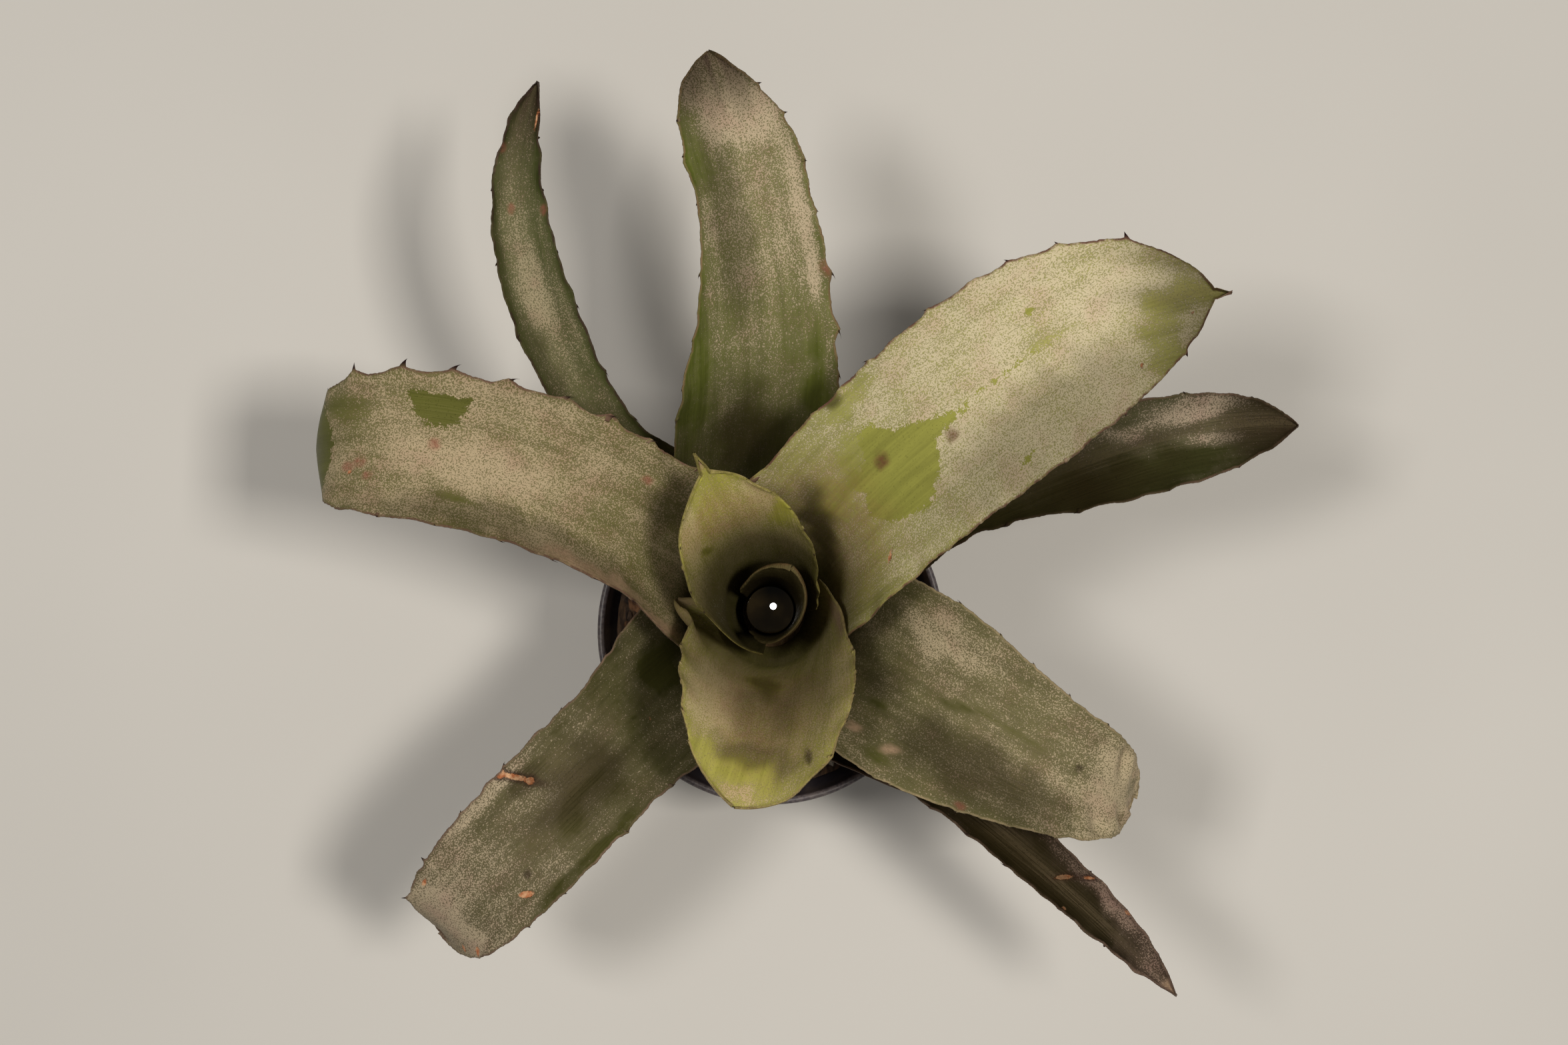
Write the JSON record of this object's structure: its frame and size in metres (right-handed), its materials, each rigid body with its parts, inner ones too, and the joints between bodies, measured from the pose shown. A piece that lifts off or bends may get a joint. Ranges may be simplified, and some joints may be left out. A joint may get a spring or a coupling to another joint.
{
  "type": "potted tank bromeliad",
  "caption": "Tank bromeliad with broad, arching, spine-edged leaves in an open rosette round a water-holding tube, growing in a round nursery pot.",
  "frame": {"origin": "centre of the pot's flat underside, on the surface that it stands on", "axes": "+Z up along the pot's axis, +Y towards the side that the plant leans to, +X to the right when looking down on it with +Y up"},
  "size_m": [0.2645, 0.2522, 0.1911],
  "materials": {
    "pot_plastic": "satin black-grey moulded plastic",
    "bark_soil": "damp bark and peat mix, rough",
    "stem": "dull corky stem",
    "cup_water": "clear still water, slightly brown",
    "leaf_young": "yellow-green leaf with a thin grey scurf",
    "leaf_grown": "olive leaf under grey-beige scurf",
    "leaf_old": "dull dark olive leaf, purple-brown at the tip"
  },
  "bodies": {
    "root": {"pot": "pot_plastic", "soil": "bark_soil", "stem": "stem", "cup_water": "cup_water", "leaf_01": "leaf_young", "leaf_02": "leaf_young", "leaf_03": "leaf_young", "leaf_04": "leaf_grown", "leaf_05": "leaf_grown", "leaf_06": "leaf_grown", "leaf_07": "leaf_grown", "leaf_08": "leaf_old", "leaf_09": "leaf_old", "leaf_10": "leaf_old", "leaf_11": "leaf_old"}
  },
  "joints": []
}
